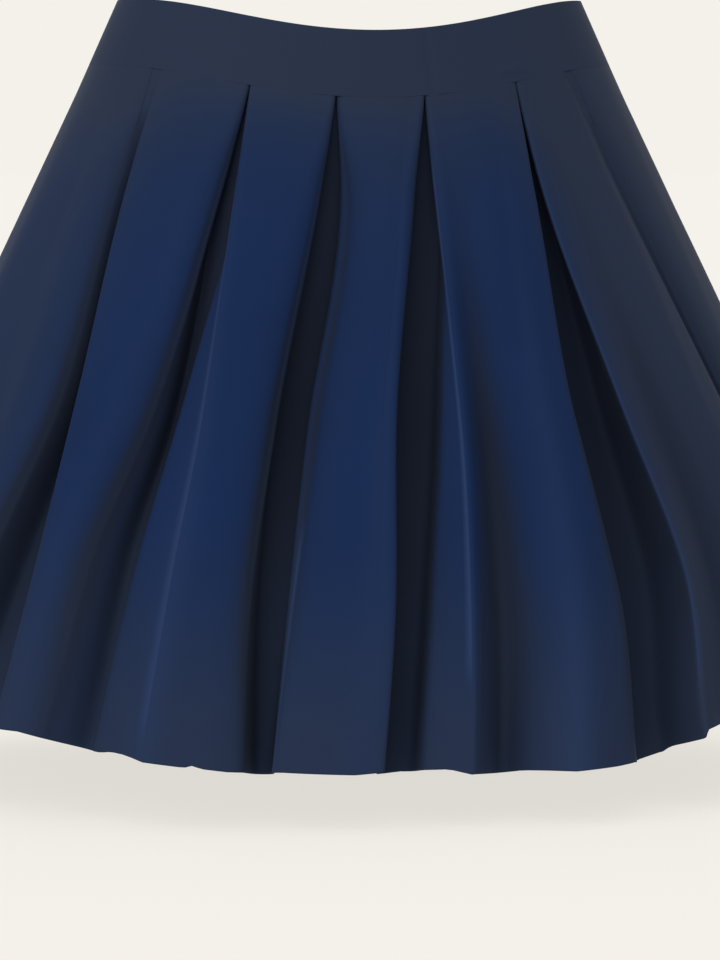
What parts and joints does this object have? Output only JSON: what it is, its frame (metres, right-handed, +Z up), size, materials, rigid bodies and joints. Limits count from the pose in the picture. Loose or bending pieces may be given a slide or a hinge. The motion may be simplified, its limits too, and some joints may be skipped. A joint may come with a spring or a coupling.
{
  "type": "pleated skater skirt",
  "caption": "Hollow flared skirt with a plain waistband and box pleats that open out towards the hem, worn from the waist",
  "frame": {"origin": "the middle of the waist, level with the waistband's top edge at the side seams, where the wearer holds the skirt up", "axes": "+X to the wearer's left, across the skirt; -Y the front; +Z up"},
  "size_m": [0.6353, 0.506, 0.4307],
  "materials": {
    "band_cloth": "smooth slate navy cloth, a little duller than the skirt, soft sheen",
    "skirt_cloth": "smooth navy cloth with a soft satin sheen and no weave that shows"
  },
  "bodies": {
    "root": {"waistband_front": "band_cloth", "waistband_back": "band_cloth", "skirt_front": "skirt_cloth", "skirt_back": "skirt_cloth"}
  },
  "joints": []
}
